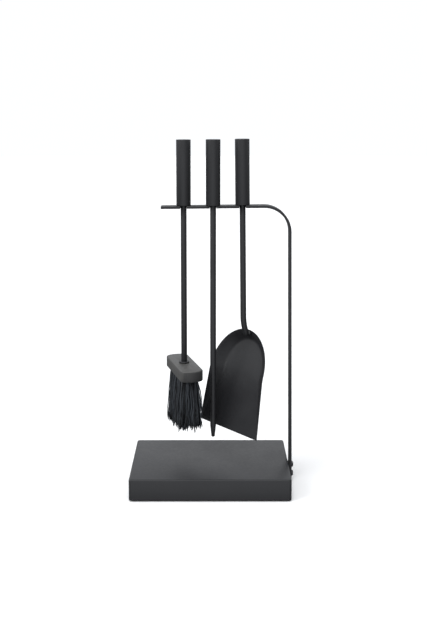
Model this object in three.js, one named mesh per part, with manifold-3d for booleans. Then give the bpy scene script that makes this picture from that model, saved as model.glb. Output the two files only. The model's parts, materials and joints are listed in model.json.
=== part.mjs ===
// Fireplace tool set: a brush, a poker and a shovel that hang by their round grips from a flat-bar
// stand on a low steel base. Units are millimetres. +Z is up, +X runs along the arm towards the
// upright and -Y is the front. The origin is on the floor, under the middle of the whole set.
import * as THREE from "three";
import { mergeVertices } from "three/addons/utils/BufferGeometryUtils.js";
import { ParametricGeometry } from "three/addons/geometries/ParametricGeometry.js";
import Module from "manifold-3d";

const wasm = await Module();
wasm.setup();

const { cos, sin, tan, PI } = Math;
const rad = THREE.MathUtils.degToRad;

// ---------- driving dimensions ----------
const GAP = 0.3; // left between pieces that touch

const BASE_WIDTH = 276;
const BASE_DEPTH = 187;
const BASE_TOP = 38.5; // height of the cover's top face above the floor
const BASE_CLEAR = 2; // height of the cover's lower edge above the floor
const COVER_SHEET = 1.5;
const COVER_CORNER = 5; // plan radius of the cover's upright edges
const COVER_FOLD = 3; // radius of the cover's top edges

const FOOT_HEIGHT = 3;
const FOOT_RADIUS = 11;
const FOOT_INSET = 42; // from the base's sides to a foot's centre
const PLATE_THICKNESS = 3;
const TAB_SIZE = 26; // square tab in each lower corner of the cover, for a plate screw
const TAB_THICKNESS = 2;
const PLATE_SCREW_INSET = 15;
const PLATE_SCREW_RADIUS = 2;
const PLATE_SCREW_HEAD_RADIUS = 4;
const PLATE_SCREW_HEAD_HEIGHT = 1.8;
const PLATE_SCREW_HEAD_FLAT = 2.6;

const BAR_WIDTH = 25;
const BAR_THICKNESS = 4.5;
const BAR_BEND_RADIUS = 47; // outer face
const BAR_TOP = 495.6; // height of the arm's top face above the floor, along the leaning upright
const BAR_FOOT = 4; // height of the upright's lower end
const ARM_END_X = -85; // from the middle of the base
const STAND_LEAN = rad(0.6); // above the base the bar leans in a little, and its arm sinks with it
const STAND_SCREW_HEIGHTS = { upper: 28.5, lower: 12.2 };
const STAND_SCREW_RADIUS = 3;
const SCREW_HEAD_RADIUS = 5.25;
const SCREW_HEAD_HEIGHT = 3.3;
const SCREW_HEAD_FLAT = 2.7; // radius of the flat top round its socket
const SCREW_RIM = 0.6; // height of the upright rim under the screw's domed head
const SOCKET_FLATS = 4; // across the flats of the hexagon in the screw's head
const SOCKET_DEPTH = 2;
const SPACER_THICKNESS = 1.5; // holds the upright off the base's side
const WASHER_RADIUS = 5.9;
const WASHER_THICKNESS = 1.6;
const NUT_FLATS = 10;
const NUT_THICKNESS = 5;

const ROD_RADIUS = 5.2;
const SLOT_WIDTH = 11.6;
const TOOL_SPACING = 51;
const POKER_X = 5; // from the middle of the base
const GRIP_RADIUS = 12.6;
const GRIP_LENGTH = 113.4;
const GRIP_WALL = 3;
const GRIP_CAP = 3;
const GRIP_PLUG = 14;
const ROD_IN_GRIP = 24; // how far a rod runs up inside its grip

const BRUSH_TURN = rad(-73.5); // of the block's long axis from +X
const BRUSH_BLOCK_TOP = 215; // height above the floor
const BLOCK_LENGTH = 124;
const BLOCK_WIDTH = 40;
const BLOCK_THICKNESS = 19;
const BLOCK_END_RADIUS = 28; // of the bulge at each end
const BLOCK_CORNER = 6; // length over which a side rounds into the bulge
const BLOCK_EDGE = 1.8; // radius of the block's upper and lower edges
const FLANGE_RADIUS = 9;
const FLANGE_THICKNESS = 2.6;
const FLANGE_EDGE = 0.5;
const STUD_RADIUS = 3.5; // the brush rod's end, inside the block
const STUD_DEPTH = 14;
const BRISTLE_END = 106; // mean height of the bristles' tips above the floor
const BRISTLE_SLOPE = 0.12; // the tips rise towards the front end of the block
const BRISTLE_TOP_HALF = [46, 13]; // half length and half width of the bundle under the block
const BRISTLE_FLARE = [8, 7]; // how far its sides spread out to the tips

const POKER_TIP = 82; // height above the floor
const POKER_TAPER = 21;
const POKER_TIP_RADIUS = 3;
const POKER_FORWARD = 6; // it hangs this far in front of the bar's middle

const SHOVEL_TURN = rad(-50); // of the pan's lip from +X
const SHOVEL_LEAN = rad(0.8); // the pan's weight swings the rod's foot back by this angle
const SHOVEL_REACH = 230.5; // from under the grip to the rod's end, along the grip's axis
const SHOVEL_BEND = rad(22); // the rod's end bends back by this angle
const SHOVEL_BEND_RADIUS = 80;
const SHOVEL_TAIL = 4; // straight end of the rod, past the bend
const PAN_TILT = rad(20.5); // the lip stands forward of the rod's axis
const PAN_LENGTH = 177.5;
const PAN_LIP_HALF = 75;
const PAN_RIM_HALF = 68.5; // half width over the rims where the round back begins
const PAN_BACK = 77; // length of the round back
const PAN_RIM_HEIGHT = 17;
const PAN_BACK_HEIGHT = 14;
const PAN_LIP_HEIGHT = 1;
const PAN_SIDE_SLOPE = rad(37); // of the side walls; the back wall is steeper
const PAN_SHEET = 1.3;
const PAN_FOLD = 3; // half the width of the rounded fold between floor and wall
const PAN_STRAIGHT = 0.3; // the straight side takes this share of the sections along the pan
const WELD_LAP = 6.5; // the rod lies on the pan's back wall over this length
const WELD_HALF = [7.6, 4.6, 5.4]; // half sizes of the bead: across, away from the rod, along it
const ROD_DOME = 1.6; // height of the domed end of the shovel's rod

// ---------- sizes that follow ----------
const PLATE_TOP = FOOT_HEIGHT + PLATE_THICKNESS;
const BAR_X = BASE_WIDTH / 2 + GAP + SPACER_THICKNESS + GAP + BAR_THICKNESS; // upright's outer face
const OVERHANG = BAR_X + GAP + SCREW_HEAD_HEIGHT - BASE_WIDTH / 2; // beyond the base's right side
const TOOL_X = {
  brush: POKER_X - TOOL_SPACING,
  poker: POKER_X,
  shovel: POKER_X + TOOL_SPACING,
};

// ---------- materials ----------
function material(name, color, roughness, metalness) {
  return new THREE.MeshStandardMaterial({ name, color, roughness, metalness });
}
const POWDER_COAT = material("powder_coat", 0x1d1d1f, 0.55, 0.2);
const SCREW_STEEL = material("screw_steel", 0x161616, 0.4, 0.8);
const RUBBER = material("rubber", 0x101010, 0.9, 0);
const PAINTED_WOOD = material("painted_wood", 0x2b2a29, 0.6, 0);
const BRISTLE = material("bristle", 0x0e0f12, 0.5, 0);

// ---------- solids ----------
function solid(geometry) {
  const bare = geometry.clone();
  bare.deleteAttribute("normal");
  bare.deleteAttribute("uv");
  const merged = mergeVertices(bare, 1e-4);
  const vertProperties = merged.attributes.position.array;
  const triVerts = new Uint32Array(merged.index.array);
  return new wasm.Manifold(new wasm.Mesh({ numProp: 3, vertProperties, triVerts }));
}

function geometryOf(shape) {
  const { vertProperties, triVerts } = shape.getMesh();
  const geometry = new THREE.BufferGeometry();
  geometry.setAttribute("position", new THREE.BufferAttribute(vertProperties, 3));
  geometry.setIndex(new THREE.BufferAttribute(triVerts, 1));
  return geometry;
}

function cut(geometry, cutters) {
  return geometryOf(cutters.reduce((left, c) => left.subtract(solid(c)), solid(geometry)));
}

function join(geometries) {
  return geometryOf(geometries.map(solid).reduce((whole, g) => whole.add(g)));
}

function mesh(name, geometry, look, position = [0, 0, 0]) {
  const made = new THREE.Mesh(geometry, look);
  made.name = name;
  made.position.set(...position);
  return made;
}

// A round solid about Z from its [radius, height] profile, which starts and ends on the axis.
function turned(profile, segments = 36) {
  const points = profile.map(([r, z]) => new THREE.Vector2(r, z));
  return new THREE.LatheGeometry(points, segments).rotateX(PI / 2);
}

// A round solid with a bore, from the profile of its wall. The profile closes on itself.
function turnedRing(profile, segments = 36) {
  return turned([...profile, profile[0]], segments);
}

function plainRing(outer, inner, low, high, segments = 36) {
  return turnedRing([[inner, low], [outer, low], [outer, high], [inner, high]], segments);
}

function pin(radius, low, high, segments = 24) {
  return turned([[0, low], [radius, low], [radius, high], [0, high]], segments);
}

// Points of a profile that rounds over from the radius at height low to a flat end at height high.
function dome(radius, low, high, flat = 0, steps = 5) {
  const points = [];
  for (let i = 0; i <= steps; i++) {
    const angle = (i / steps) * (PI / 2);
    points.push([flat + (radius - flat) * cos(angle), low + (high - low) * sin(angle)]);
  }
  return flat > 0 ? [...points, [0, high]] : points;
}

function block(width, depth, height, x = 0, y = 0, z = 0) {
  return new THREE.BoxGeometry(width, depth, height).translate(x, y, z);
}

function hexagon(acrossFlats) {
  const corner = new THREE.Vector2(acrossFlats / 2 / cos(PI / 6), 0);
  const origin = new THREE.Vector2();
  return new THREE.Shape([0, 1, 2, 3, 4, 5].map((i) => corner.clone().rotateAround(origin, (i * PI) / 3)));
}

function roundedRectangle(width, depth, radius) {
  const x = width / 2;
  const y = depth / 2;
  const shape = new THREE.Shape();
  shape.moveTo(radius - x, -y);
  shape.lineTo(x - radius, -y);
  shape.absarc(x - radius, radius - y, radius, -PI / 2, 0);
  shape.lineTo(x, y - radius);
  shape.absarc(x - radius, y - radius, radius, 0, PI / 2);
  shape.lineTo(radius - x, y);
  shape.absarc(radius - x, y - radius, radius, PI / 2, PI);
  shape.lineTo(-x, radius - y);
  shape.absarc(radius - x, radius - y, radius, PI, 1.5 * PI);
  return shape;
}

// An outline extruded from z = 0 up, with its edges rounded inwards by the given radius.
function plate(shape, thickness, edge = 0, curveSegments = 5) {
  return new THREE.ExtrudeGeometry(shape, {
    depth: thickness - 2 * edge,
    bevelEnabled: edge > 0,
    bevelThickness: edge,
    bevelSize: edge,
    bevelOffset: -edge,
    bevelSegments: 2,
    curveSegments,
  }).translate(0, 0, edge);
}

// ---------- base ----------
const CORNERS = [
  ["front_left", -1, -1],
  ["front_right", 1, -1],
  ["back_left", -1, 1],
  ["back_right", 1, 1],
];

function cornerPoint(inset, sideX, sideY) {
  return [sideX * (BASE_WIDTH / 2 - inset), sideY * (BASE_DEPTH / 2 - inset)];
}

// A cutter along X for one of the screws that hold the upright to the base's side.
function screwHole(x, z) {
  return pin(STAND_SCREW_RADIUS + GAP, -10, 10).rotateY(PI / 2).translate(x, 0, z);
}

// A folded tray, open below, with a screw tab in each lower corner and two holes in its right side.
function baseCover() {
  const outline = roundedRectangle(BASE_WIDTH, BASE_DEPTH, COVER_CORNER);
  const inner = roundedRectangle(
    BASE_WIDTH - 2 * COVER_SHEET,
    BASE_DEPTH - 2 * COVER_SHEET,
    COVER_CORNER - COVER_SHEET,
  );
  const height = BASE_TOP - BASE_CLEAR;
  const below = 2 * COVER_FOLD; // the extrusion's own lower edges are rounded too, so they are cut off
  const body = plate(outline, height + below, COVER_FOLD).translate(0, 0, BASE_CLEAR - below);
  const skirt = block(2 * BASE_WIDTH, 2 * BASE_DEPTH, 4 * below, 0, 0, BASE_CLEAR - 2 * below);
  const hollow = plate(inner, height + below - COVER_SHEET).translate(0, 0, BASE_CLEAR - below);
  const tabs = CORNERS.map(([, sideX, sideY]) => {
    const [x, y] = cornerPoint(COVER_SHEET / 2 + TAB_SIZE / 2, sideX, sideY);
    return block(TAB_SIZE, TAB_SIZE, TAB_THICKNESS, x, y, PLATE_TOP + GAP + TAB_THICKNESS / 2);
  });
  const tabHoles = CORNERS.map(([, sideX, sideY]) => {
    const [x, y] = cornerPoint(PLATE_SCREW_INSET, sideX, sideY);
    return pin(PLATE_SCREW_RADIUS + GAP, 0, BASE_TOP / 2).translate(x, y, 0);
  });
  const sideHoles = Object.values(STAND_SCREW_HEIGHTS).map((z) => screwHole(BASE_WIDTH / 2, z));
  const shell = cut(body, [skirt, hollow]);
  return mesh("base_cover", cut(join([shell, ...tabs]), [...tabHoles, ...sideHoles]), POWDER_COAT);
}

function bottomPlate() {
  const margin = 2 * (COVER_SHEET + GAP);
  const outline = roundedRectangle(BASE_WIDTH - margin, BASE_DEPTH - margin, COVER_CORNER);
  outline.holes = CORNERS.map(([, sideX, sideY]) => {
    const [x, y] = cornerPoint(PLATE_SCREW_INSET, sideX, sideY);
    return new THREE.Path().absarc(x, y, PLATE_SCREW_RADIUS + GAP, 0, 2 * PI, true);
  });
  return mesh("base_bottom_plate", plate(outline, PLATE_THICKNESS), POWDER_COAT, [0, 0, FOOT_HEIGHT]);
}

function foot(corner, sideX, sideY) {
  const top = FOOT_HEIGHT - GAP;
  const edge = 0.6;
  const profile = [
    [0, 0],
    [FOOT_RADIUS - edge, 0],
    [FOOT_RADIUS, edge],
    [FOOT_RADIUS, top],
    [0, top],
  ];
  const [x, y] = cornerPoint(FOOT_INSET, sideX, sideY);
  return mesh(`foot_${corner}`, turned(profile, 24), RUBBER, [x, y, 0]);
}

// A pan-head screw with a cross recess, driven upwards through the plate into the cover's tab.
function plateScrew(corner, sideX, sideY) {
  const seat = FOOT_HEIGHT - GAP;
  const headBottom = seat - PLATE_SCREW_HEAD_HEIGHT;
  const tip = PLATE_TOP + TAB_THICKNESS + 3;
  const chamfer = 1;
  const profile = [
    ...dome(PLATE_SCREW_HEAD_RADIUS, seat - 1, headBottom, PLATE_SCREW_HEAD_FLAT).reverse(),
    [PLATE_SCREW_HEAD_RADIUS, seat],
    [PLATE_SCREW_RADIUS, seat],
    [PLATE_SCREW_RADIUS, tip - chamfer],
    [PLATE_SCREW_RADIUS - chamfer, tip],
    [0, tip],
  ];
  const slotLength = 3.6;
  const slotWidth = 0.8;
  const recess = [
    block(slotLength, slotWidth, PLATE_SCREW_HEAD_HEIGHT, 0, 0, headBottom),
    block(slotWidth, slotLength, PLATE_SCREW_HEAD_HEIGHT, 0, 0, headBottom),
  ];
  const [x, y] = cornerPoint(PLATE_SCREW_INSET, sideX, sideY);
  return mesh(`plate_screw_${corner}`, cut(turned(profile, 16), recess), SCREW_STEEL, [x, y, 0]);
}

// ---------- stand ----------
// Turns a point [outwards from the upright's outer face, up from the base's top] by the bar's lean.
function leaning(outwards, up) {
  const foot = new THREE.Vector2(BAR_X, BASE_TOP);
  return new THREE.Vector2(outwards, up).rotateAround(new THREE.Vector2(), STAND_LEAN).add(foot);
}

// Height of the arm's top face at a distance x from the middle of the base.
function armTop(x) {
  const corner = leaning(0, BAR_TOP - BASE_TOP);
  return corner.y - (corner.x - x) * tan(STAND_LEAN);
}

function slotCutter(x) {
  const top = armTop(x);
  const tall = 4 * BAR_THICKNESS;
  const round = pin(SLOT_WIDTH / 2, -tall / 2, tall / 2).translate(x, 0, top);
  const mouth = block(SLOT_WIDTH, BAR_WIDTH, tall, x, -BAR_WIDTH / 2, top);
  return join([round, mouth]);
}

// One flat bar: upright, round bend and arm, with three slots in the arm's front edge.
function standBar() {
  const top = BAR_TOP - BASE_TOP;
  const inner = BAR_BEND_RADIUS - BAR_THICKNESS;
  const centre = leaning(-BAR_BEND_RADIUS, top - BAR_BEND_RADIUS);
  const armLength = (BAR_X - ARM_END_X - top * sin(STAND_LEAN)) / cos(STAND_LEAN);
  const first = STAND_LEAN;
  const last = STAND_LEAN + PI / 2;
  const upper = leaning(-armLength, top);
  const lower = leaning(-armLength, top - BAR_THICKNESS);
  const side = new THREE.Shape();
  side.moveTo(BAR_X - BAR_THICKNESS, BAR_FOOT);
  side.lineTo(BAR_X, BAR_FOOT);
  side.lineTo(BAR_X, BASE_TOP);
  side.absarc(centre.x, centre.y, BAR_BEND_RADIUS, first, last);
  side.lineTo(upper.x, upper.y);
  side.lineTo(lower.x, lower.y);
  side.absarc(centre.x, centre.y, inner, last, first, true);
  side.lineTo(BAR_X - BAR_THICKNESS, BASE_TOP);
  const bar = plate(side, BAR_WIDTH, 0.5, 10).translate(0, 0, -BAR_WIDTH / 2).rotateX(PI / 2);
  const slots = Object.values(TOOL_X).map(slotCutter);
  const holes = Object.values(STAND_SCREW_HEIGHTS).map((z) => screwHole(BAR_X, z));
  return mesh("stand_bar", cut(bar, [...slots, ...holes]), POWDER_COAT);
}

// Everything along one side screw's axis, from outside the upright inwards: the round-head socket
// screw, the spacer between upright and base, and the washer and nut inside the base. The screw's
// head points along +Z until it is turned.
function standFastening(place, height) {
  const seat = BAR_X + GAP;
  const spacerSeat = BASE_WIDTH / 2 + GAP + SPACER_THICKNESS;
  const washerSeat = BASE_WIDTH / 2 - COVER_SHEET - GAP;
  const nutSeat = washerSeat - WASHER_THICKNESS - GAP;
  const chamfer = 0.8;
  const tip = nutSeat - NUT_THICKNESS - 2 - seat;
  const bore = STAND_SCREW_RADIUS + GAP;
  const socketFloor = SCREW_HEAD_HEIGHT - SOCKET_DEPTH;
  const socket = plate(hexagon(SOCKET_FLATS), 2 * SOCKET_DEPTH).translate(0, 0, socketFloor);
  const screwProfile = [
    [0, tip],
    [STAND_SCREW_RADIUS - chamfer, tip],
    [STAND_SCREW_RADIUS, tip + chamfer],
    [STAND_SCREW_RADIUS, 0],
    [SCREW_HEAD_RADIUS, 0],
    ...dome(SCREW_HEAD_RADIUS, SCREW_RIM, SCREW_HEAD_HEIGHT, SCREW_HEAD_FLAT),
  ];
  const screw = cut(turned(screwProfile, 24), [socket]);
  const spacer = plainRing(WASHER_RADIUS, bore, -SPACER_THICKNESS, 0, 24);
  const washer = plainRing(WASHER_RADIUS, bore, -WASHER_THICKNESS, 0, 24);
  const nutShape = hexagon(NUT_FLATS);
  nutShape.holes = [new THREE.Path().absarc(0, 0, bore, 0, 2 * PI, true)];
  const nut = plate(nutShape, NUT_THICKNESS).translate(0, 0, -NUT_THICKNESS).rotateZ(PI / 6);
  const pieces = [
    ["screw", screw, seat],
    ["spacer", spacer, spacerSeat],
    ["washer", washer, washerSeat],
    ["nut", nut, nutSeat],
  ];
  return pieces.map(([kind, geometry, x]) =>
    mesh(`stand_${kind}_${place}`, geometry.rotateY(PI / 2), SCREW_STEEL, [x, 0, height]),
  );
}

// ---------- tools ----------
// A tool's own frame has its origin under the middle of its grip and its rod running down -Z.

// Height of a grip's underside: its lowest edge clears the arm, which slopes, and the grip may lean.
function seatHeight(x, lean) {
  return armTop(x) + GAP + GRIP_RADIUS * (tan(STAND_LEAN) + tan(lean));
}

function grip(tool) {
  const inner = GRIP_RADIUS - GRIP_WALL;
  const edge = 0.5;
  const tube = turnedRing([
    [inner, 0],
    [GRIP_RADIUS - edge, 0],
    [GRIP_RADIUS, edge],
    [GRIP_RADIUS, GRIP_LENGTH - edge],
    [GRIP_RADIUS - edge, GRIP_LENGTH],
    [inner, GRIP_LENGTH],
  ]);
  const cap = pin(inner - GAP, GRIP_LENGTH - GRIP_CAP, GRIP_LENGTH, 36);
  const plug = plainRing(inner - GAP, ROD_RADIUS + GAP, 0, GRIP_PLUG);
  return [
    mesh(`${tool}_grip_tube`, tube, POWDER_COAT),
    mesh(`${tool}_grip_cap`, cap, POWDER_COAT),
    mesh(`${tool}_grip_plug`, plug, POWDER_COAT),
  ];
}

function brushRod(blockTop) {
  const stud = blockTop - STUD_DEPTH;
  const chamfer = 1;
  const rod = turned([
    [0, stud],
    [STUD_RADIUS - chamfer, stud],
    [STUD_RADIUS, stud + chamfer],
    [STUD_RADIUS, blockTop + GAP],
    [ROD_RADIUS, blockTop + GAP],
    [ROD_RADIUS, ROD_IN_GRIP],
    [0, ROD_IN_GRIP],
  ]);
  return mesh("brush_rod", rod, POWDER_COAT);
}

// The round disc that bears on the block.
function brushFlange(blockTop) {
  const low = blockTop + GAP;
  const high = low + FLANGE_THICKNESS;
  const bore = ROD_RADIUS + GAP;
  const profile = [
    [bore, low],
    [FLANGE_RADIUS, low],
    [FLANGE_RADIUS, high - FLANGE_EDGE],
    [FLANGE_RADIUS - FLANGE_EDGE, high],
    [bore, high],
  ];
  return mesh("brush_flange", turnedRing(profile), POWDER_COAT);
}

// The block in plan: straight sides, bulged ends and rounded corners, its long axis along X.
function blockOutline() {
  const half = BLOCK_WIDTH / 2;
  const bulge = BLOCK_LENGTH / 2 - BLOCK_END_RADIUS; // centre of the right end's arc
  const corner = bulge + Math.sqrt(BLOCK_END_RADIUS ** 2 - half ** 2);
  const straight = corner - BLOCK_CORNER;
  const arc = Math.asin(half / BLOCK_END_RADIUS) - BLOCK_CORNER / BLOCK_END_RADIUS;
  const arcX = bulge + BLOCK_END_RADIUS * cos(arc);
  const arcY = BLOCK_END_RADIUS * sin(arc);
  const shape = new THREE.Shape();
  shape.moveTo(-straight, -half);
  shape.lineTo(straight, -half);
  shape.quadraticCurveTo(corner, -half, arcX, -arcY);
  shape.absarc(bulge, 0, BLOCK_END_RADIUS, -arc, arc);
  shape.quadraticCurveTo(corner, half, straight, half);
  shape.lineTo(-straight, half);
  shape.quadraticCurveTo(-corner, half, -arcX, arcY);
  shape.absarc(-bulge, 0, BLOCK_END_RADIUS, PI - arc, PI + arc);
  shape.quadraticCurveTo(-corner, -half, -straight, -half);
  return shape;
}

function brushBlock(blockTop) {
  const low = blockTop - BLOCK_THICKNESS;
  const body = plate(blockOutline(), BLOCK_THICKNESS, BLOCK_EDGE).translate(0, 0, low);
  const studHole = pin(STUD_RADIUS + GAP, blockTop - STUD_DEPTH - 1, blockTop + 1);
  return mesh("brush_block", cut(body, [studHole]), PAINTED_WOOD);
}

// The bundle as one soft solid: an oval that starts well inside the block's edge and flares.
function bristles(blockTop, tips) {
  const top = blockTop - BLOCK_THICKNESS - GAP;
  const length = top - tips;
  const sides = 32;
  const levels = 5;
  const bundle = new THREE.CylinderGeometry(1, 1, length, sides, levels).rotateX(PI / 2);
  const place = bundle.attributes.position;
  for (let i = 0; i < place.count; i++) {
    const down = 0.5 - place.getZ(i) / length; // 0 at the block, 1 at the tips
    const flare = Math.sqrt(down);
    const [halfLength, halfWidth] = BRISTLE_TOP_HALF.map((half, k) => half + BRISTLE_FLARE[k] * flare);
    const x = place.getX(i) * halfLength;
    place.setXYZ(i, x, place.getY(i) * halfWidth, place.getZ(i) + x * BRISTLE_SLOPE * down);
  }
  return mesh("brush_bristles", bundle, BRISTLE, [0, 0, (top + tips) / 2]);
}

function makeBrush() {
  const tool = new THREE.Group();
  const seat = seatHeight(TOOL_X.brush, 0);
  const blockTop = BRUSH_BLOCK_TOP - seat;
  tool.add(...grip("brush"), brushRod(blockTop), brushFlange(blockTop), brushBlock(blockTop));
  tool.add(bristles(blockTop, BRISTLE_END - seat));
  tool.position.set(TOOL_X.brush, 0, seat);
  tool.rotation.z = BRUSH_TURN;
  return tool;
}

function makePoker() {
  const tool = new THREE.Group();
  const seat = seatHeight(TOOL_X.poker, 0);
  const tip = POKER_TIP - seat;
  const edge = 0.8;
  const rod = turned([
    [0, tip],
    [POKER_TIP_RADIUS - edge, tip],
    [POKER_TIP_RADIUS, tip + edge],
    [ROD_RADIUS, tip + POKER_TAPER],
    [ROD_RADIUS, ROD_IN_GRIP],
    [0, ROD_IN_GRIP],
  ]);
  tool.add(...grip("poker"), mesh("poker_rod", rod, POWDER_COAT));
  tool.position.set(TOOL_X.poker, -POKER_FORWARD, seat);
  return tool;
}

// The shovel's rod: straight, then an arc back towards +Y, a short straight end and a domed tip.
function shovelRod() {
  const bendDrop = SHOVEL_BEND_RADIUS * sin(SHOVEL_BEND) + SHOVEL_TAIL * cos(SHOVEL_BEND);
  const bendZ = bendDrop - SHOVEL_REACH;
  const path = new THREE.CurvePath();
  const bend = new THREE.EllipseCurve(
    SHOVEL_BEND_RADIUS, bendZ, SHOVEL_BEND_RADIUS, SHOVEL_BEND_RADIUS, PI, PI + SHOVEL_BEND);
  const inPlane = ({ x, y }) => new THREE.Vector3(0, x, y);
  const arc = new THREE.CatmullRomCurve3(bend.getSpacedPoints(8).map(inPlane));
  const arcEnd = inPlane(bend.getPoint(1));
  const tail = new THREE.Vector3(0, sin(SHOVEL_BEND), -cos(SHOVEL_BEND));
  const end = arcEnd.clone().addScaledVector(tail, SHOVEL_TAIL);
  path.add(new THREE.LineCurve3(new THREE.Vector3(0, 0, ROD_IN_GRIP), new THREE.Vector3(0, 0, bendZ)));
  path.add(arc);
  path.add(new THREE.LineCurve3(arcEnd, end));
  const section = new THREE.Shape().absarc(0, 0, ROD_RADIUS, 0, 2 * PI);
  const tube = new THREE.ExtrudeGeometry(section, { steps: 44, curveSegments: 12, extrudePath: path });
  const overlap = 0.2; // the tip reaches into the tube by this, a little inside its skin
  const tipRadius = ROD_RADIUS - 0.05;
  const tip = turned([...dome(tipRadius, 0, -ROD_DOME).reverse(), [tipRadius, overlap], [0, overlap]])
    .rotateX(SHOVEL_BEND)
    .translate(end.x, end.y, end.z);
  return { rod: mesh("shovel_rod", join([tube, tip]), POWDER_COAT), end };
}

// The pan's frame has X across, -Y from the handle end towards the lip and Z up from its floor.
const BACK_SLOPE = PAN_TILT + SHOVEL_BEND; // so the rod's end lies flat on the back wall
const PAN_BACK_Y = WELD_LAP * cos(BACK_SLOPE) + (ROD_RADIUS + GAP) * sin(BACK_SLOPE);

// A point of the right rim, with the plan direction that points inwards from it and the slope of the
// wall below it. At s = 0 it is at the lip, and at s = 1 in the middle of the round back.
function rimPoint(s) {
  const backY = PAN_BACK_Y - PAN_BACK;
  const lipY = PAN_BACK_Y - PAN_LENGTH;
  if (s < PAN_STRAIGHT) {
    const t = s / PAN_STRAIGHT;
    const x = PAN_LIP_HALF + (PAN_RIM_HALF - PAN_LIP_HALF) * t;
    const y = lipY + (backY - lipY) * t;
    const height = PAN_LIP_HEIGHT + (PAN_RIM_HEIGHT - PAN_LIP_HEIGHT) * t;
    return { x, y, height, slope: PAN_SIDE_SLOPE, inX: -1, inY: 0 };
  }
  const angle = (((s - PAN_STRAIGHT) / (1 - PAN_STRAIGHT)) * PI) / 2;
  const towards = new THREE.Vector2(-cos(angle) / PAN_RIM_HALF, -sin(angle) / PAN_BACK).normalize();
  return {
    x: PAN_RIM_HALF * cos(angle),
    y: backY + PAN_BACK * sin(angle),
    height: PAN_RIM_HEIGHT + (PAN_BACK_HEIGHT - PAN_RIM_HEIGHT) * sin(angle),
    slope: PAN_SIDE_SLOPE + (BACK_SLOPE - PAN_SIDE_SLOPE) * sin(angle),
    inX: towards.x,
    inY: towards.y,
  };
}

// Height of the sheet's upper face at a distance in from the rim: wall, rounded fold, floor.
function wallHeight(inwards, run, slope) {
  const fold = Math.min(PAN_FOLD, run / 2);
  const beyond = run + fold - inwards;
  if (beyond <= 0) return 0;
  if (beyond >= 2 * fold) return (run - inwards) * tan(slope);
  return (beyond * beyond * tan(slope)) / (4 * fold);
}

// One pressed sheet. Its section at each place along the pan is a closed loop: the upper face from
// rim to rim, then the lower face back. The first section closes the lip's raw edge.
function shovelPan() {
  // Places in from the rim, in parts of the wall's run. They are close together over the fold.
  const stops = [0, 0.3, 0.6, 0.8, 0.87, 0.93, 1, 1.07, 1.13, 1.2];
  const across = 2 * stops.length + 1; // points from rim to rim, with one in the middle
  const stations = 28; // sections from the lip to the middle of the round back
  function sheetPoint(place, column) {
    const side = column < across / 2 - 0.5 ? -1 : 1;
    const stop = stops[Math.min(column, across - 1 - column)];
    const { x, y, height, slope, inX, inY } = rimPoint(place);
    const run = height / tan(slope);
    if (stop === undefined) return new THREE.Vector3(0, y + inY * run * stops.at(-1), 0);
    const inwards = stop * run;
    const lift = wallHeight(inwards, run, slope);
    return new THREE.Vector3(side * (x + inX * inwards), y + inY * inwards, lift);
  }
  function surface(u, v, target) {
    const station = Math.round(u * (stations + 1));
    const place = Math.max(station - 1, 0) / stations;
    const step = Math.round((1 - v) * 2 * across) % (2 * across);
    const lower = step >= across;
    const column = lower ? 2 * across - 1 - step : step;
    target.copy(sheetPoint(place, column));
    if (station === 0) target.z -= PAN_SHEET / 2;
    else if (lower) target.z -= PAN_SHEET;
  }
  const sheet = new ParametricGeometry(surface, stations + 1, 2 * across);
  return mesh("shovel_pan", geometryOf(solid(sheet)), POWDER_COAT);
}

// A bead round the rod's end, clear of the rod and of the pan's wall behind it. It is made about the
// rod's end, with the rod coming down -Z and the wall on the +Y side, and then turned with the bend.
function shovelWeld(end) {
  const [across, away, along] = WELD_HALF;
  const bead = new THREE.SphereGeometry(1, 20, 12).scale(across, away, along).translate(0, away - 1, 0);
  const rodSpace = pin(ROD_RADIUS + GAP, -ROD_DOME - GAP, 4 * along);
  const wallSize = 4 * across;
  const wallStart = ROD_RADIUS - GAP; // the wall curves, so it comes nearer at the bead's sides
  const wallSpace = block(wallSize, wallSize, wallSize, 0, wallStart + wallSize / 2, 0);
  const weld = cut(bead, [rodSpace, wallSpace]).rotateX(SHOVEL_BEND);
  return mesh("shovel_weld", weld, POWDER_COAT, end.toArray());
}

function makeShovel() {
  const turn = new THREE.Group();
  const tool = new THREE.Group();
  const { rod, end } = shovelRod();
  const pan = shovelPan();
  const panUp = new THREE.Vector3(0, -cos(PAN_TILT), sin(PAN_TILT));
  const rodAboveFloor =
    PAN_BACK_HEIGHT - WELD_LAP * sin(BACK_SLOPE) + (ROD_RADIUS + GAP) * cos(BACK_SLOPE);
  pan.position.copy(end).addScaledVector(panUp, -rodAboveFloor);
  pan.rotation.x = PI / 2 - PAN_TILT;
  tool.add(...grip("shovel"), rod, pan, shovelWeld(end));
  tool.rotation.x = SHOVEL_LEAN;
  turn.add(tool);
  turn.position.set(TOOL_X.shovel, 0, seatHeight(TOOL_X.shovel, SHOVEL_LEAN));
  turn.rotation.z = SHOVEL_TURN;
  return turn;
}

// ---------- the whole set ----------
const set = new THREE.Group();
set.add(baseCover(), bottomPlate());
for (const corner of CORNERS) {
  set.add(foot(...corner), plateScrew(...corner));
}
set.add(standBar());
for (const [place, height] of Object.entries(STAND_SCREW_HEIGHTS)) {
  set.add(...standFastening(place, height));
}
set.add(makeBrush(), makePoker(), makeShovel());
set.position.x = -OVERHANG / 2; // the upright sticks out on one side only

export default set;
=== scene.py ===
"""Looks for the fireplace tool set: coats, wood, bristles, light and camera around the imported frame."""

import json
import math
import random

import bpy
from mathutils import Matrix, Vector


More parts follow.
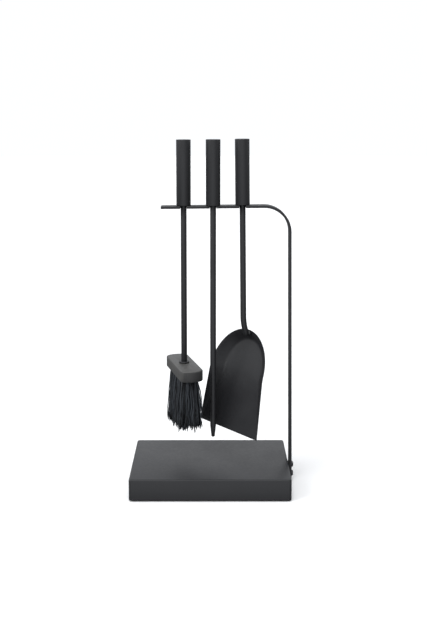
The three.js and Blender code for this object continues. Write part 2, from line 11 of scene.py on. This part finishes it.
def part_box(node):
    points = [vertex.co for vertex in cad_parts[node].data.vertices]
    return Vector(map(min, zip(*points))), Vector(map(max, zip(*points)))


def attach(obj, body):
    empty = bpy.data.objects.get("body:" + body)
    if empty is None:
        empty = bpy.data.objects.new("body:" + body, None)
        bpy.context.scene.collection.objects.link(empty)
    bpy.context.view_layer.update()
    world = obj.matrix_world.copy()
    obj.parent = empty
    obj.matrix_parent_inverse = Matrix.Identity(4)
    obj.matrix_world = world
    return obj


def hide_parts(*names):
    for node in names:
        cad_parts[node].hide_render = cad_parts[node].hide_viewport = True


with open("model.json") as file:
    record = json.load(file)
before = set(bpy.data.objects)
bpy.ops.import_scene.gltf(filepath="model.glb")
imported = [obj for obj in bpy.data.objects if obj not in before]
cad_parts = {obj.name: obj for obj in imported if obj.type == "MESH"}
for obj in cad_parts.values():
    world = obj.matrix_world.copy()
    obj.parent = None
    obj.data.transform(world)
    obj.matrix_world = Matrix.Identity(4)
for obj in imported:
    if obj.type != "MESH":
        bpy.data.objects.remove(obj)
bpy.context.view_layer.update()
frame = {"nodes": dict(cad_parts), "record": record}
nodes = frame["nodes"]

MM = 0.001
WELD_DISTANCE = 0.01 * MM
SHARP_ANGLE = math.radians(32)
FLAT_ANGLE = math.radians(0.3)

BRUSH_TURN = math.radians(-73.5)  # of the brush block's long axis from +X

CAMERA_PLACE = (-0.0019, -1.5291, 0.6534)
CAMERA_DIP = math.radians(6.742)  # below the horizon
CAMERA_YAW = math.radians(-0.094)
CAMERA_SHIFT = -0.16  # the set sits higher in the frame, and its verticals stay as they are

DUSTY_HEIGHT = 35 * MM  # of the bristles, from their tips

FLOOR_RADIUS = 12.0
FLOOR_SIDES = 96
FLOOR_DROP = 0.2 * MM  # keeps the floor clear of the feet

WORLD_SEEN = 1.05  # strength of the surroundings as the camera sees them
WORLD_DIM = 0.29  # strength as a source of light, away from the soft boxes
SUNS = [  # name, direction in which the light goes, strength, spread in degrees
    ("key", (0.75, 0.4, -0.6), 1.3, 28),
    ("top", (0.0, 0.4, -1.0), 1.3, 34),
]
SOFT_BOXES = [  # direction from the set, half angle that is fully bright, half angle that is dim, strength
    ((0, -1, -0.15), 22, 50, 0.92),
    ((-1, 0.25, 0.6), 18, 38, 1.10),
    ((1, 0.1, 0.7), 20, 45, 0.80),
    ((0, 1, 0.55), 30, 55, 0.86),
    ((0, -0.25, 1), 20, 50, 1.30),
]


# ---------- helpers for node trees ----------
def new_material(name):
    """A material with a lone Principled shader. Returns its tree and that shader."""
    material = bpy.data.materials.new(name)
    material.use_nodes = True
    tree = material.node_tree
    return material, tree, tree.nodes["Principled BSDF"]


def add(tree, kind, inputs=(), **properties):
    """A node of this kind, with its properties and its inputs set or linked by name."""
    node = tree.nodes.new(kind)
    for key, value in properties.items():
        setattr(node, key, value)
    for key, value in dict(inputs).items():
        if isinstance(value, bpy.types.NodeSocket):
            tree.links.new(value, node.inputs[key])
        else:
            node.inputs[key].default_value = value
    return node


def place(tree, turn=0.0, centre=(0, 0, 0), stretch=(1, 1, 1)):
    """The point in the row frame, moved to a centre, turned about Z and stretched."""
    point = add(tree, "ShaderNodeTexCoord").outputs["Object"]
    moved = add(tree, "ShaderNodeVectorMath", {0: point, 1: centre}, operation="SUBTRACT").outputs[0]
    inputs = {"Vector": moved, "Rotation": (0, 0, -turn), "Scale": stretch}
    return add(tree, "ShaderNodeMapping", inputs).outputs["Vector"]


def noise(tree, point, size, detail=2.0, roughness=0.5):
    """Smooth random values whose features are about this many metres across."""
    inputs = {"Vector": point, "Scale": 1 / size, "Detail": detail, "Roughness": roughness}
    return add(tree, "ShaderNodeTexNoise", inputs).outputs["Fac"]


def remap(tree, value, low, high, to_low=0.0, to_high=1.0):
    """Maps values from low..high to to_low..to_high, with the ends held."""
    inputs = {"Value": value, "From Min": low, "From Max": high, "To Min": to_low, "To Max": to_high}
    return add(tree, "ShaderNodeMapRange", inputs).outputs["Result"]


def blend_colors(tree, share, first, second):
    """The first color where the share is 0, the second where it is 1. Each is a socket or three numbers."""
    node = add(tree, "ShaderNodeMix", data_type="RGBA")
    tree.links.new(share, node.inputs["Factor"])
    for socket, value in ((node.inputs[6], first), (node.inputs[7], second)):
        if isinstance(value, bpy.types.NodeSocket):
            tree.links.new(value, socket)
        else:
            socket.default_value = (*value, 1)
    return node.outputs[2]


def multiply(tree, a, b):
    return add(tree, "ShaderNodeMath", {0: a, 1: b}, operation="MULTIPLY").outputs[0]


def plus(tree, a, b):
    return add(tree, "ShaderNodeMath", {0: a, 1: b}, operation="ADD").outputs[0]


def bump(tree, height, depth, strength=1.0, normal=None):
    inputs = {"Height": height, "Distance": depth, "Strength": strength}
    if normal is not None:
        inputs["Normal"] = normal
    return add(tree, "ShaderNodeBump", inputs).outputs["Normal"]


def edges(tree, radius):
    """1 on convex and concave edges, 0 on faces, found by comparing a rounded normal with the real one."""
    rounded = add(tree, "ShaderNodeBevel", {"Radius": radius}, samples=6).outputs["Normal"]
    real = add(tree, "ShaderNodeNewGeometry").outputs["Normal"]
    same = add(tree, "ShaderNodeVectorMath", {0: rounded, 1: real}, operation="DOT_PRODUCT").outputs["Value"]
    return remap(tree, same, 0.995, 0.85)


# ---------- materials ----------
def powder_coat(name, color=(0.0145, 0.0148, 0.0165), roughness=0.44, grain=0.55 * MM):
    """Fine-textured black powder coat: a sandy grain, soft mottling, and lighter edges, partly the coat
    rubbed thin and partly a painted highlight on the folds.
    """
    material, tree, shader = new_material(name)
    point = place(tree)
    sand = noise(tree, point, grain, detail=2.5, roughness=0.6)
    peel = noise(tree, point, 5 * MM, detail=2)
    cloud = noise(tree, point, 60 * MM, detail=3)
    # Lighter edges: partly the coat rubbed thin, partly a painted highlight on the rounded folds.
    lighter_edges = multiply(tree, edges(tree, 0.9 * MM), remap(tree, noise(tree, point, 4 * MM, 3), 0.42, 0.68))
    lighter = tuple(1.3 * c for c in color)
    body = blend_colors(tree, remap(tree, cloud, 0.3, 0.7), color, lighter)
    speck = blend_colors(tree, remap(tree, sand, 0.45, 0.75, 0, 0.35), body, tuple(2.2 * c for c in color))
    # Mixes in the lighter edges: rubbed coat and a painted highlight on the folds.
    with_lighter_edges = blend_colors(tree, multiply(tree, lighter_edges, 0.6), speck, (0.13, 0.125, 0.12))
    tree.links.new(with_lighter_edges, shader.inputs["Base Color"])
    spread = remap(tree, plus(tree, multiply(tree, cloud, 0.6), multiply(tree, peel, 0.4)), 0.3, 0.7,
                   roughness - 0.05, roughness + 0.06)
    tree.links.new(spread, shader.inputs["Roughness"])
    coarse = bump(tree, peel, 0.05 * MM, 0.35)
    tree.links.new(bump(tree, sand, 0.06 * MM, 0.5, coarse), shader.inputs["Normal"])
    return material


def blackened_steel():
    """Black oxide on the screws, washers and nuts: metal under a thin dark film, rubbed bright on edges."""
    material, tree, shader = new_material("blackened_steel")
    point = place(tree)
    film = noise(tree, point, 1.2 * MM, detail=3)
    lighter_edges = multiply(tree, edges(tree, 0.35 * MM), remap(tree, film, 0.4, 0.65))
    body = blend_colors(tree, remap(tree, film, 0.3, 0.7), (0.045, 0.045, 0.05), (0.085, 0.083, 0.085))
    tree.links.new(blend_colors(tree, lighter_edges, body, (0.36, 0.35, 0.34)), shader.inputs["Base Color"])
    tree.links.new(remap(tree, film, 0.3, 0.7, 0.3, 0.44), shader.inputs["Roughness"])
    tree.links.new(bump(tree, noise(tree, point, 0.25 * MM), 0.02 * MM, 0.4), shader.inputs["Normal"])
    shader.inputs["Metallic"].default_value = 0.85
    return material


def rubber():
    """Moulded rubber of the feet: matte, finely pitted, with a little dust."""
    material, tree, shader = new_material("foot_rubber")
    point = place(tree)
    pits = noise(tree, point, 0.4 * MM, detail=2)
    dust = noise(tree, point, 6 * MM, detail=4)
    share = remap(tree, dust, 0.45, 0.75, 0, 0.6)
    dusty = blend_colors(tree, share, (0.016, 0.016, 0.017), (0.05, 0.048, 0.045))
    tree.links.new(dusty, shader.inputs["Base Color"])
    tree.links.new(remap(tree, dust, 0.3, 0.7, 0.72, 0.9), shader.inputs["Roughness"])
    tree.links.new(bump(tree, pits, 0.05 * MM, 0.5), shader.inputs["Normal"])
    return material


def painted_wood():
    """Thin charcoal paint on hardwood. The grain runs along the block, and its ends carry a painted shade.
    """
    material, tree, shader = new_material("charcoal_painted_wood")
    low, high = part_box("brush_block")
    centre = (low + high) / 2
    along = place(tree, BRUSH_TURN, centre, stretch=(0.07, 1, 1))
    fibre = noise(tree, along, 0.7 * MM, detail=4, roughness=0.65)
    figure = noise(tree, place(tree, BRUSH_TURN, centre, stretch=(0.12, 1, 0.6)), 9 * MM, detail=3)
    wear = noise(tree, place(tree, 0, centre), 5 * MM, detail=4)
    pores = remap(tree, fibre, 0.52, 0.68)
    cloudy = remap(tree, figure, 0.35, 0.65)
    paint = blend_colors(tree, cloudy, (0.052, 0.0515, 0.050), (0.073, 0.072, 0.069))
    grained = blend_colors(tree, multiply(tree, pores, 0.55), paint, (0.030, 0.029, 0.028))
    # Painted shade: the faces that look along the block, its ends, are darkened.
    facing = add(tree, "ShaderNodeNewGeometry").outputs["True Normal"]
    axis = (math.cos(BRUSH_TURN), math.sin(BRUSH_TURN), 0)
    lengthways = add(tree, "ShaderNodeVectorMath", {0: facing, 1: axis}, operation="DOT_PRODUCT")
    either_way = add(tree, "ShaderNodeMath", {0: lengthways.outputs["Value"]}, operation="ABSOLUTE")
    painted_end_shade = remap(tree, either_way.outputs[0], 0.6, 0.9)
    # Blends the painted shade into the block's ends.
    with_painted_end_shade = blend_colors(tree, multiply(tree, painted_end_shade, 0.75), grained, (0.020, 0.020, 0.021))
    lighter_edges = multiply(tree, edges(tree, 1.2 * MM), remap(tree, wear, 0.45, 0.7))
    with_lighter_edges = blend_colors(tree, multiply(tree, lighter_edges, 0.5), with_painted_end_shade, (0.15, 0.14, 0.125))
    tree.links.new(with_lighter_edges, shader.inputs["Base Color"])
    tree.links.new(remap(tree, plus(tree, multiply(tree, pores, 0.3), figure), 0.3, 0.9, 0.42, 0.62),
                   shader.inputs["Roughness"])
    swell = bump(tree, figure, 0.1 * MM, 0.25)
    tree.links.new(bump(tree, fibre, 0.12 * MM, 0.45, swell), shader.inputs["Normal"])
    return material


def bristle_fibre():
    """Coarse black fibre with a cool sheen. Each fibre has a shade of its own, and the tips are dusty."""
    material, tree, shader = new_material("bristle_fibre")
    low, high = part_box("brush_bristles")
    centre = ((low.x + high.x) / 2, (low.y + high.y) / 2, low.z)
    point = place(tree, 0, centre)
    lock = add(tree, "ShaderNodeAttribute", attribute_name="shade").outputs["Fac"]
    streak = noise(tree, place(tree, 0, centre, stretch=(1, 1, 0.08)), 0.9 * MM, detail=2)
    tone = plus(tree, multiply(tree, lock, 0.7), multiply(tree, remap(tree, streak, 0.3, 0.7), 0.3))
    height = add(tree, "ShaderNodeSeparateXYZ", {0: point}).outputs["Z"]
    patches = remap(tree, noise(tree, point, 6 * MM, 3), 0.4, 0.7)
    dust = multiply(tree, remap(tree, height, DUSTY_HEIGHT, 0), patches)
    body = blend_colors(tree, remap(tree, tone, 0.25, 0.95), (0.0025, 0.003, 0.004), (0.072, 0.083, 0.098))
    dusty = blend_colors(tree, multiply(tree, dust, 0.25), body, (0.08, 0.08, 0.08))
    tree.links.new(dusty, shader.inputs["Base Color"])
    tree.links.new(remap(tree, streak, 0.3, 0.7, 0.36, 0.52), shader.inputs["Roughness"])
    return material


# ---------- finer surfaces for the CAD nodes ----------
def smooth_by_angle():
    """A node group that smooths every face and leaves edges over SHARP_ANGLE sharp."""
    group = bpy.data.node_groups.new("smooth_by_angle", "GeometryNodeTree")
    group.interface.new_socket("Geometry", in_out="INPUT", socket_type="NodeSocketGeometry")
    group.interface.new_socket("Geometry", in_out="OUTPUT", socket_type="NodeSocketGeometry")
    source = add(group, "NodeGroupInput").outputs[0]
    bare = add(group, "GeometryNodeRemoveAttribute", {"Geometry": source, "Name": "custom_normal"})
    faces = add(group, "GeometryNodeSetShadeSmooth", {"Geometry": bare.outputs[0]}, domain="FACE")
    angle = add(group, "GeometryNodeInputMeshEdgeAngle").outputs["Unsigned Angle"]
    sharp = add(group, "FunctionNodeCompare", {0: angle, 1: SHARP_ANGLE}, operation="GREATER_THAN")
    inputs = {"Geometry": faces.outputs[0], "Selection": sharp.outputs[0], "Shade Smooth": False}
    creased = add(group, "GeometryNodeSetShadeSmooth", inputs, domain="EDGE")
    add(group, "NodeGroupOutput", {0: creased.outputs[0]})
    return group


def refine(target, edge, group):
    """Joins a node's facets, rounds its edges by this radius and smooths its faces, all with modifiers."""
    weld = target.modifiers.new("weld", "WELD")
    weld.merge_threshold = WELD_DISTANCE
    flat = target.modifiers.new("flat_faces", "DECIMATE")
    flat.decimate_type = "DISSOLVE"
    flat.angle_limit = FLAT_ANGLE
    if edge:
        bevel = target.modifiers.new("soft_edges", "BEVEL")
        bevel.width = edge
        bevel.segments = 2
        bevel.limit_method = "ANGLE"
        bevel.angle_limit = SHARP_ANGLE
    smooth = target.modifiers.new("smooth", "NODES")
    smooth.node_group = group


def dress(target, material):
    target.data.materials.clear()
    target.data.materials.append(material)


# ---------- bristles ----------
TUFT_ROWS = 5
TUFT_COLUMNS = 13
LOCKS_IN_TUFT = 5
FIBRES_IN_LOCK = 10
TUFT_RADIUS = 2.4 * MM
LOCK_RADIUS = 0.85 * MM
FIBRE_RADIUS = 0.37 * MM
FIBRE_RINGS = 8
FIBRE_SIDES = 4
ROOT_HALF = (46 * MM, 11.5 * MM)  # half length and half width of the field of tufts
TIP_HALF = (52 * MM, 17.5 * MM)
TIP_SLOPE = 0.12  # the tips rise towards the front end of the block
TIP_RISE = 8 * MM  # mean height of the tips above the lowest point of the CAD's soft solid
ROOT_INSET = 1.5 * MM  # the fibres start this far inside the block
REACH = (57 * MM, 21 * MM)  # no fibre strays further than this from the block's middle
SWAY = 1.8 * MM  # spread of a lock's slow wave
RIPPLE = 1.2 * MM  # spread of its quick wave
RIPPLES_IN_SWAY = 2.7
TUFT_LEAN = (1.0 * MM, 1.2 * MM)  # spread of a tuft's tip, sideways and in height
LOCK_LEAN = (2.2 * MM, 2.4 * MM)
FIBRE_LEAN = (0.5 * MM, 2.2 * MM)
STRAY_SHARE = 0.07  # of the locks
STRAY_FACTOR = 2.4  # how much further a stray lock leans


def tuft_places(half_length, half_width):
    """Centres of the tufts' holes under the block, in rows that shorten towards its rounded ends."""
    for row in range(TUFT_ROWS):
        y = half_width * (2 * row / (TUFT_ROWS - 1) - 1)
        reach = half_length * (1 - 0.08 * (y / half_width) ** 2)
        for column in range(TUFT_COLUMNS):
            yield reach * (2 * column / (TUFT_COLUMNS - 1) - 1), y


def disc_point(dice, radius):
    angle = dice.uniform(0, 2 * math.pi)
    distance = radius * math.sqrt(dice.random())
    return Vector((distance * math.cos(angle), distance * math.sin(angle), 0))


def gauss_point(dice, spread, height=0.0):
    return Vector((dice.gauss(0, spread), dice.gauss(0, spread), dice.gauss(0, height)))


def within_reach(point):
    """The point, held to the space that the fibres may take up beside the block's middle."""
    x = min(max(point.x, -REACH[0]), REACH[0])
    y = min(max(point.y, -REACH[1]), REACH[1])
    return Vector((x, y, point.z))


def lock_line(dice, root, tip):
    """The curve that a lock of fibres shares: it spreads early and wanders in two slow waves."""
    sway = gauss_point(dice, SWAY)
    ripple = gauss_point(dice, RIPPLE)
    turns = dice.uniform(0.8, 1.4)
    phase = dice.random()
    points = []
    for k in range(FIBRE_RINGS):
        t = k / (FIBRE_RINGS - 1)
        point = root.lerp(tip, t)
        point.xy = root.xy.lerp(tip.xy, t**0.7)
        slow = math.sin(2 * math.pi * (turns * t + phase)) - math.sin(2 * math.pi * phase)
        quick = math.sin(2 * math.pi * (RIPPLES_IN_SWAY * turns * t + phase))
        points.append(point + t * (sway * slow + ripple * quick))
    return points


def add_fibre(vertices, faces, points, radius):
    """A thin square tube along the points, narrowing to its tip, appended to the mesh lists."""
    first = len(vertices)
    for k, point in enumerate(points):
        along = (points[min(k + 1, len(points) - 1)] - points[max(k - 1, 0)]).normalized()
        side = along.cross(Vector((0.3, 1, 0.2))).normalized()
        other = along.cross(side)
        width = radius * (1 - 0.45 * k / (len(points) - 1))
        for corner in range(FIBRE_SIDES):
            angle = 2 * math.pi * corner / FIBRE_SIDES
            vertices.append(point + width * (math.cos(angle) * side + math.sin(angle) * other))
    for k in range(len(points) - 1):
        for corner in range(FIBRE_SIDES):
            a = first + k * FIBRE_SIDES + corner
            b = first + k * FIBRE_SIDES + (corner + 1) % FIBRE_SIDES
            faces.append((a, b, b + FIBRE_SIDES, a + FIBRE_SIDES))
    last = first + (len(points) - 1) * FIBRE_SIDES
    faces.append(tuple(first + corner for corner in reversed(range(FIBRE_SIDES))))
    faces.append(tuple(last + corner for corner in range(FIBRE_SIDES)))


def make_bristles(material):
    """Tufts of fibres that hang from the block in wavy locks, inside the space of the CAD's soft solid."""
    dice = random.Random(7)
    low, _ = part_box("brush_bristles")
    block_low, block_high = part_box("brush_block")
    centre = Vector(((block_low.x + block_high.x) / 2, (block_low.y + block_high.y) / 2, 0))
    turn = Matrix.Rotation(BRUSH_TURN, 4, "Z")
    root_z = block_low.z + ROOT_INSET
    mean_tip = low.z + TIP_RISE
    vertices = []
    faces = []
    shades = []
    for x, y in tuft_places(*ROOT_HALF):
        tuft = Vector((x, y, root_z))
        splayed = Vector((x * TIP_HALF[0] / ROOT_HALF[0], y * TIP_HALF[1] / ROOT_HALF[1], mean_tip))
        lean = gauss_point(dice, *TUFT_LEAN)
        for _ in range(LOCKS_IN_TUFT):
            stray = STRAY_FACTOR if dice.random() < STRAY_SHARE else 1.0
            root = tuft + disc_point(dice, TUFT_RADIUS - LOCK_RADIUS)
            tip = splayed + lean + gauss_point(dice, LOCK_LEAN[0] * stray, LOCK_LEAN[1])
            tip.z += TIP_SLOPE * tip.x
            shared = lock_line(dice, root, tip)
            shade = dice.random()
            for _ in range(FIBRES_IN_LOCK):
                offset = disc_point(dice, LOCK_RADIUS)
                splay = gauss_point(dice, FIBRE_LEAN[0] * stray, FIBRE_LEAN[1])
                steps = [(k / (FIBRE_RINGS - 1), point) for k, point in enumerate(shared)]
                points = [point + offset * (1.2 - 0.5 * t) + splay * t**4 for t, point in steps]
                first = len(vertices)
                turned = [turn @ within_reach(point) + centre for point in points]
                add_fibre(vertices, faces, turned, FIBRE_RADIUS * dice.uniform(0.8, 1.3))
                tone = min(max(shade + dice.gauss(0, 0.12), 0), 1)
                shades.extend([tone] * (len(vertices) - first))
    mesh = bpy.data.meshes.new("brush_fibres")
    mesh.from_pydata(vertices, [], faces)
    mesh.polygons.foreach_set("use_smooth", [True] * len(mesh.polygons))
    mesh.attributes.new("shade", "FLOAT", "POINT").data.foreach_set("value", shades)
    mesh.materials.append(material)
    fibres = bpy.data.objects.new("brush_fibres", mesh)
    bpy.context.scene.collection.objects.link(fibres)
    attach(fibres, "brush_head")
    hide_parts("brush_bristles")


# ---------- camera, floor and light ----------
def make_camera():
    data = bpy.data.cameras.new("camera")
    data.lens = 50
    data.sensor_width = 36
    data.shift_y = CAMERA_SHIFT
    camera = bpy.data.objects.new("camera", data)
    camera.location = CAMERA_PLACE
    camera.rotation_euler = (math.radians(90) - CAMERA_DIP, 0, CAMERA_YAW)
    bpy.context.scene.collection.objects.link(camera)
    bpy.context.scene.camera = camera


def make_floor():
    """A wide pale disc, so that no edge of it shows."""
    material, tree, shader = new_material("pale_floor")
    point = place(tree)
    shade = noise(tree, point, 0.5, detail=3)
    pale = blend_colors(tree, shade, (0.90, 0.90, 0.90), (0.93, 0.93, 0.93))
    tree.links.new(pale, shader.inputs["Base Color"])
    shader.inputs["Roughness"].default_value = 0.7
    angles = [2 * math.pi * k / FLOOR_SIDES for k in range(FLOOR_SIDES)]
    rim = [(FLOOR_RADIUS * math.cos(angle), FLOOR_RADIUS * math.sin(angle), 0) for angle in angles]
    mesh = bpy.data.meshes.new("floor")
    mesh.from_pydata(rim, [], [tuple(range(FLOOR_SIDES))])
    mesh.materials.append(material)
    floor = bpy.data.objects.new("floor", mesh)
    floor.location.z = -FLOOR_DROP
    floor.visible_glossy = False
    floor.visible_diffuse = False
    bpy.context.scene.collection.objects.link(floor)


def make_world():
    """White surroundings to the eye. As light they are dim, apart from wide soft boxes all round."""
    world = bpy.data.worlds.new("studio")
    bpy.context.scene.world = world
    world.use_nodes = True
    tree = world.node_tree
    background = tree.nodes["Background"]
    direction = add(tree, "ShaderNodeTexCoord").outputs["Generated"]
    light = WORLD_DIM
    for axis, bright, dim, strength in SOFT_BOXES:
        inputs = {0: direction, 1: Vector(axis).normalized()}
        facing = add(tree, "ShaderNodeVectorMath", inputs, operation="DOT_PRODUCT").outputs["Value"]
        limits = math.cos(math.radians(dim)), math.cos(math.radians(bright))
        box = remap(tree, facing, *limits, 0, strength)
        light = add(tree, "ShaderNodeMath", {0: light, 1: box}, operation="MAXIMUM").outputs[0]
    seen = add(tree, "ShaderNodeLightPath").outputs["Is Camera Ray"]
    strength = add(tree, "ShaderNodeMix", {"Factor": seen, "A": light, "B": WORLD_SEEN}, data_type="FLOAT")
    background.inputs["Color"].default_value = (0.95, 0.97, 1, 1)
    tree.links.new(strength.outputs[0], background.inputs["Strength"])


def make_sun(name, direction, strength, spread):
    """A lamp so far off that it lights the whole floor alike. A wide spread keeps its shadows soft."""
    data = bpy.data.lights.new(name, "SUN")
    data.energy = strength
    data.angle = math.radians(spread)
    lamp = bpy.data.objects.new(name, data)
    lamp.rotation_euler = Vector(direction).to_track_quat("-Z", "Y").to_euler()
    bpy.context.scene.collection.objects.link(lamp)


def make_studio():
    bpy.context.scene.view_settings.view_transform = "Standard"
    make_world()
    for name, direction, strength, spread in SUNS:
        make_sun(name, direction, strength, spread)


# ---------- the whole scene ----------
COAT = powder_coat("black_powder_coat")
STEEL = blackened_steel()
RUBBER = rubber()
WOOD = painted_wood()
FIBRE = bristle_fibre()

FINISHES = {
    "powder_coat": (COAT, 0.3 * MM),
    "screw_steel": (STEEL, 0.12 * MM),
    "rubber": (RUBBER, 0.25 * MM),
    "painted_wood": (WOOD, 0.5 * MM),
}

smoothing = smooth_by_angle()
slots = {row["node"]: row["material_slot"] for row in frame["record"]["subparts"]}
for node_name, node_object in nodes.items():
    if slots[node_name] in FINISHES:
        finish, edge_radius = FINISHES[slots[node_name]]
        dress(node_object, finish)
        refine(node_object, edge_radius, smoothing)

make_bristles(FIBRE)
make_camera()
make_floor()
make_studio()

bpy.context.view_layer.update()
